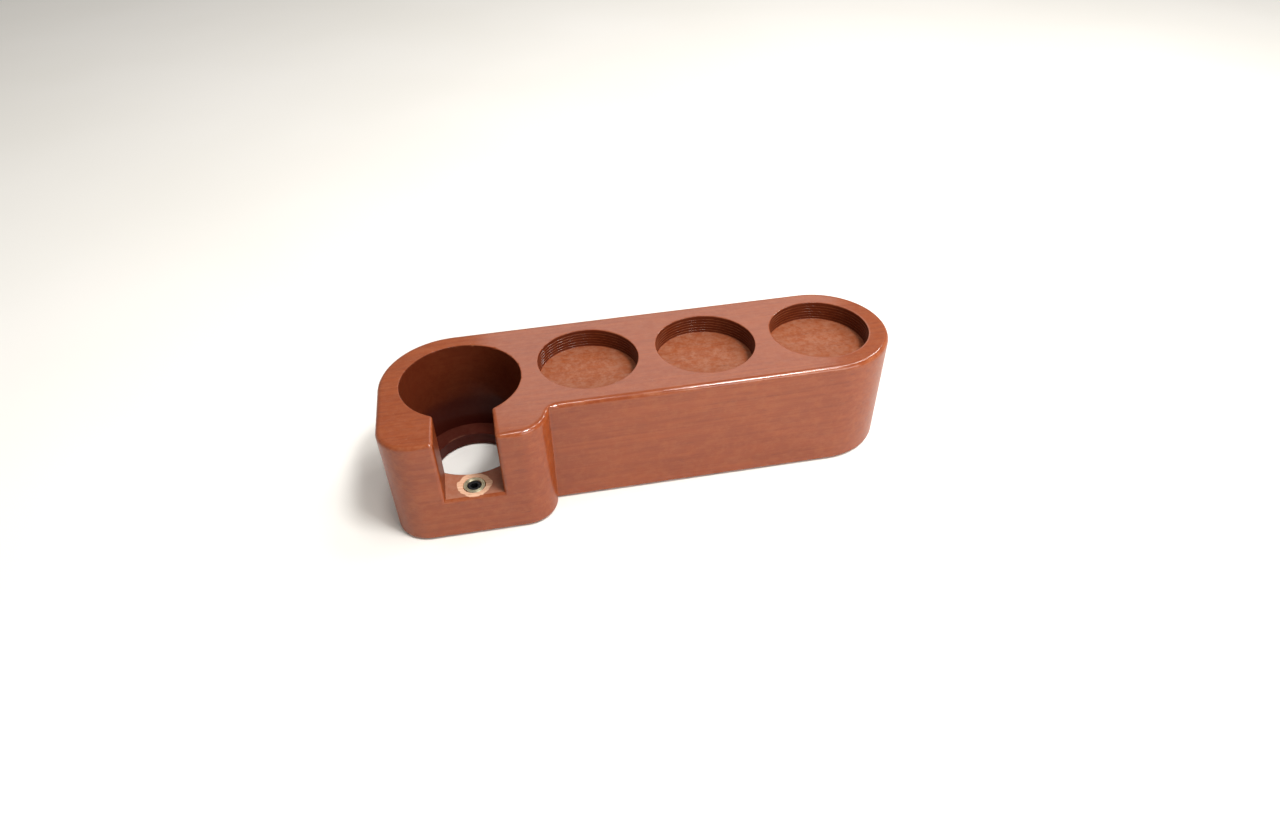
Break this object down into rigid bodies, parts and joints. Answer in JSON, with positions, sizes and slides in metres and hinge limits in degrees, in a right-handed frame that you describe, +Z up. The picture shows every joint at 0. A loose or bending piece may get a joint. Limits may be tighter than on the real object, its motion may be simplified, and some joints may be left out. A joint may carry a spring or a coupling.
{
  "type": "espresso tamping station",
  "caption": "Stained wood tamping station: a deep slotted bore holds a portafilter over a leveling set screw, and a row of shallow round recesses holds tampers.",
  "frame": {"origin": "bottom centre of the bounding box, on the surface that the feet stand on", "axes": "+X along the block from the portafilter bore to the rounded end, -Y the front where the slot opens, +Z up"},
  "size_m": [0.31, 0.1038, 0.071],
  "materials": {
    "stained_wood": "satin varnish over reddish-brown stain",
    "zinc_plate": "yellow zinc plating",
    "black_steel": "black oxide",
    "foot_rubber": "matt"
  },
  "bodies": {
    "station": {"wood_block": "stained_wood", "threaded_insert": "zinc_plate", "foot_1": "foot_rubber", "foot_2": "foot_rubber", "foot_3": "foot_rubber", "foot_4": "foot_rubber", "foot_5": "foot_rubber", "foot_6": "foot_rubber"},
    "screw": {"leveling_screw": "black_steel"}
  },
  "joints": [
    {"name": "screw_travel", "type": "slide", "parent": "station", "child": "screw", "axis": [0, 0, 1], "range_m": [-0.002, 0.008]}
  ]
}
